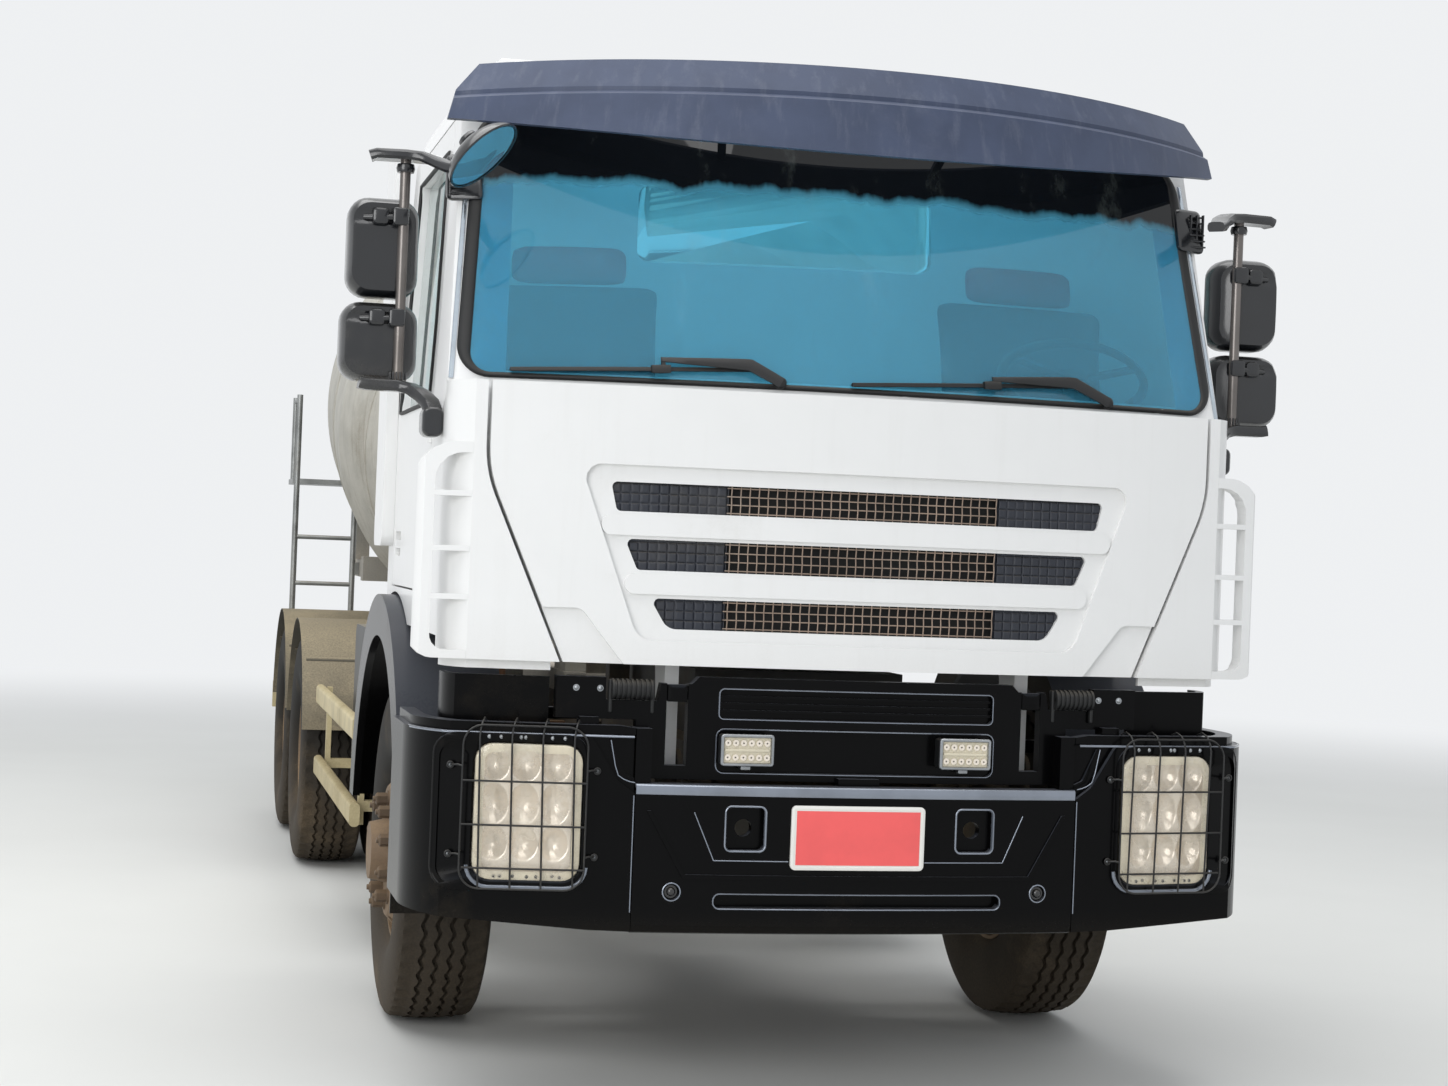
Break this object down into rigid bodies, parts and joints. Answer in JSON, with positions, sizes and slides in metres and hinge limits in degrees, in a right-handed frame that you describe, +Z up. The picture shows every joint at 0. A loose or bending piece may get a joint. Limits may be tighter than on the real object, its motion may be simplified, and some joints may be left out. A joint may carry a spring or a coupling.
{
  "type": "concrete mixer truck",
  "caption": "Forward-control lorry with a turning concrete drum, loading hopper, folding swing chute, tilting cab, opening doors and flap, steered front wheels.",
  "frame": {"origin": "on the road under the middle of the truck's overall length and width", "axes": "+Z up, +Y towards the rear chute, +X towards the vehicle's left side; the cab faces -Y"},
  "size_m": [2.91, 9.6508, 3.5],
  "materials": {
    "chassis_paint": "dusty dark chassis paint",
    "engine_metal": "dirty casting",
    "black_gloss": "glossy black",
    "lamp_lens": "pale lens",
    "black_wire": "black wire",
    "tank_grey": "dusty grey paint",
    "water_tank_paint": "dusty pale paint",
    "exhaust_steel": "rusty",
    "mudguard_plastic": "dusty matt",
    "guard_paint": "dusty cream paint",
    "mixer_paint": "dusty grey paint",
    "galvanised": "galvanised",
    "cab_white": "gloss white paint",
    "cab_glass": "teal tinted",
    "visor_plastic": "faded dark grey",
    "black_plastic": "black plastic",
    "seat_fabric": "woven",
    "dash_plastic": "grained",
    "tyre_rubber": "dusty rubber",
    "rim_steel": "dusty rusty paint",
    "drum_paint": "dusty light grey paint",
    "roller_steel": "worn steel"
  },
  "bodies": {
    "chassis": {"frame": "chassis_paint", "engine": "engine_metal", "front_axle": "chassis_paint", "rear_axles": "chassis_paint", "springs": "chassis_paint", "drive_shafts": "chassis_paint", "bumper": "black_gloss", "lamps": "lamp_lens", "lamp_guards": "black_wire", "front_mudguards": "black_gloss", "side_tanks": "tank_grey", "water_tank": "water_tank_paint", "exhaust": "exhaust_steel", "rear_mudguards": "mudguard_plastic", "side_guards": "guard_paint", "subframe": "mixer_paint", "front_pedestal": "mixer_paint", "rear_pedestal": "mixer_paint", "hopper": "mixer_paint", "ladder": "galvanised"},
    "cab": {"cab_shell": "cab_white", "cab_glass": "cab_glass", "cab_side_panels": "cab_white", "sun_visor": "visor_plastic", "wipers": "black_plastic", "seats": "seat_fabric", "dashboard": "dash_plastic", "mirrors": "black_plastic"},
    "right_door": {"door_right": "cab_white", "door_glass_right": "cab_glass"},
    "left_door": {"door_left": "cab_white", "door_glass_left": "cab_glass"},
    "flap": {"front_flap": "cab_white", "grille_mesh": "black_wire"},
    "steering_wheel": {"steering_wheel": "black_plastic"},
    "right_knuckle": {"knuckle_right": "chassis_paint"},
    "left_knuckle": {"knuckle_left": "chassis_paint"},
    "track_rod": {"track_rod": "chassis_paint"},
    "front_wheel_right": {"front_tyre_right": "tyre_rubber", "front_rim_right": "rim_steel"},
    "front_wheel_left": {"front_tyre_left": "tyre_rubber", "front_rim_left": "rim_steel"},
    "rear_wheel_1_right": {"rear_wheel_1_right": "tyre_rubber"},
    "rear_wheel_1_left": {"rear_wheel_1_left": "tyre_rubber"},
    "rear_wheel_2_right": {"rear_wheel_2_right": "tyre_rubber"},
    "rear_wheel_2_left": {"rear_wheel_2_left": "tyre_rubber"},
    "drum": {"drum": "drum_paint"},
    "right_roller": {"roller_right": "roller_steel"},
    "left_roller": {"roller_left": "roller_steel"},
    "chute_swivel": {"chute_swivel": "mixer_paint"},
    "chute": {"chute": "mixer_paint"},
    "chute_extension": {"chute_extension": "mixer_paint"},
    "jack_barrel": {"jack_barrel": "mixer_paint"},
    "jack_rod": {"jack_rod": "roller_steel"}
  },
  "joints": [
    {"name": "cab_tilt", "type": "hinge", "parent": "chassis", "child": "cab", "pos_m": [0, -4.57536, 0.95], "axis": [1, 0, 0], "range_deg": [0, 50]},
    {"name": "right_door_swing", "type": "hinge", "parent": "cab", "child": "right_door", "pos_m": [-1.17, -4.17536, 1.9], "axis": [0, 0, 1], "range_deg": [0, 68]},
    {"name": "left_door_swing", "type": "hinge", "parent": "cab", "child": "left_door", "pos_m": [1.17, -4.17536, 1.9], "axis": [0, 0, -1], "range_deg": [0, 68]},
    {"name": "flap_lift", "type": "hinge", "parent": "cab", "child": "flap", "pos_m": [0, -4.70836, 1.989], "axis": [-1, 0, 0], "range_deg": [0, 60]},
    {"name": "steering_wheel_turn", "type": "hinge", "parent": "cab", "child": "steering_wheel", "pos_m": [0.7, -4.12536, 2.04], "axis": [0, 0.6157, 0.788], "range_deg": [-690, 690]},
    {"name": "steer_left", "type": "hinge", "parent": "chassis", "child": "left_knuckle", "pos_m": [0.88, -3.32536, 0.538], "axis": [0, 0, 1], "range_deg": [-38, 38]},
    {"name": "steer_right", "type": "hinge", "parent": "chassis", "child": "right_knuckle", "pos_m": [-0.88, -3.32536, 0.538], "axis": [0, 0, 1], "range_deg": [-38, 38]},
    {"name": "track_rod_pivot", "type": "hinge", "parent": "left_knuckle", "child": "track_rod", "pos_m": [0.88, -3.13536, 0.378], "axis": [0, 0, 1], "range_deg": [-38, 38]},
    {"name": "front_wheel_right_spin", "type": "hinge", "parent": "right_knuckle", "child": "front_wheel_right", "pos_m": [-1.025, -3.32536, 0.538], "axis": [1, 0, 0], "continuous": true},
    {"name": "front_wheel_left_spin", "type": "hinge", "parent": "left_knuckle", "child": "front_wheel_left", "pos_m": [1.025, -3.32536, 0.538], "axis": [1, 0, 0], "continuous": true},
    {"name": "rear_wheel_1_right_spin", "type": "hinge", "parent": "chassis", "child": "rear_wheel_1_right", "pos_m": [-0.915, 0.47464, 0.538], "axis": [1, 0, 0], "continuous": true},
    {"name": "rear_wheel_1_left_spin", "type": "hinge", "parent": "chassis", "child": "rear_wheel_1_left", "pos_m": [0.915, 0.47464, 0.538], "axis": [1, 0, 0], "continuous": true},
    {"name": "rear_wheel_2_right_spin", "type": "hinge", "parent": "chassis", "child": "rear_wheel_2_right", "pos_m": [-0.915, 1.82464, 0.538], "axis": [1, 0, 0], "continuous": true},
    {"name": "rear_wheel_2_left_spin", "type": "hinge", "parent": "chassis", "child": "rear_wheel_2_left", "pos_m": [0.915, 1.82464, 0.538], "axis": [1, 0, 0], "continuous": true},
    {"name": "drum_turn", "type": "hinge", "parent": "chassis", "child": "drum", "pos_m": [0, 1.37464, 2.165], "axis": [0, 0.9781, 0.2079], "continuous": true},
    {"name": "left_roller_spin", "type": "hinge", "parent": "chassis", "child": "left_roller", "pos_m": [0.51516, 2.84698, 1.63511], "axis": [0, 0.9781, 0.2079], "continuous": true},
    {"name": "right_roller_spin", "type": "hinge", "parent": "chassis", "child": "right_roller", "pos_m": [-0.51516, 2.84698, 1.63511], "axis": [0, 0.9781, 0.2079], "continuous": true},
    {"name": "chute_swing", "type": "hinge", "parent": "chassis", "child": "chute_swivel", "pos_m": [0, 3.79464, 1.2], "axis": [0, 0, 1], "range_deg": [-70, 70]},
    {"name": "chute_tilt", "type": "hinge", "parent": "chute_swivel", "child": "chute", "pos_m": [0, 3.79464, 1.78], "axis": [1, 0, 0], "range_deg": [-4, 18]},
    {"name": "chute_fold", "type": "hinge", "parent": "chute", "child": "chute_extension", "pos_m": [0, 4.69195, 1.03229], "axis": [-1, 0, 0], "range_deg": [0, 180]},
    {"name": "jack_pivot", "type": "hinge", "parent": "chute_swivel", "child": "jack_barrel", "pos_m": [0, 3.91464, 0.68], "axis": [1, 0, 0], "range_deg": [-15, 15]},
    {"name": "jack_stroke", "type": "slide", "parent": "jack_barrel", "child": "jack_rod", "axis": [0, 0.7816, 0.6237], "range_m": [-0.07, 0.31]}
  ],
  "couplings": [
    {"joint": "steer_right", "follows": "steer_left", "ratio": 1},
    {"joint": "track_rod_pivot", "follows": "steer_left", "ratio": -1},
    {"joint": "steering_wheel_turn", "follows": "steer_left", "ratio": 18},
    {"joint": "left_roller_spin", "follows": "drum_turn", "ratio": -7.8364},
    {"joint": "right_roller_spin", "follows": "drum_turn", "ratio": -7.8364},
    {"joint": "jack_pivot", "follows": "chute_tilt", "ratio": 0.0503},
    {"joint": "jack_stroke", "follows": "chute_tilt", "m_per_rad": 0.9336}
  ]
}
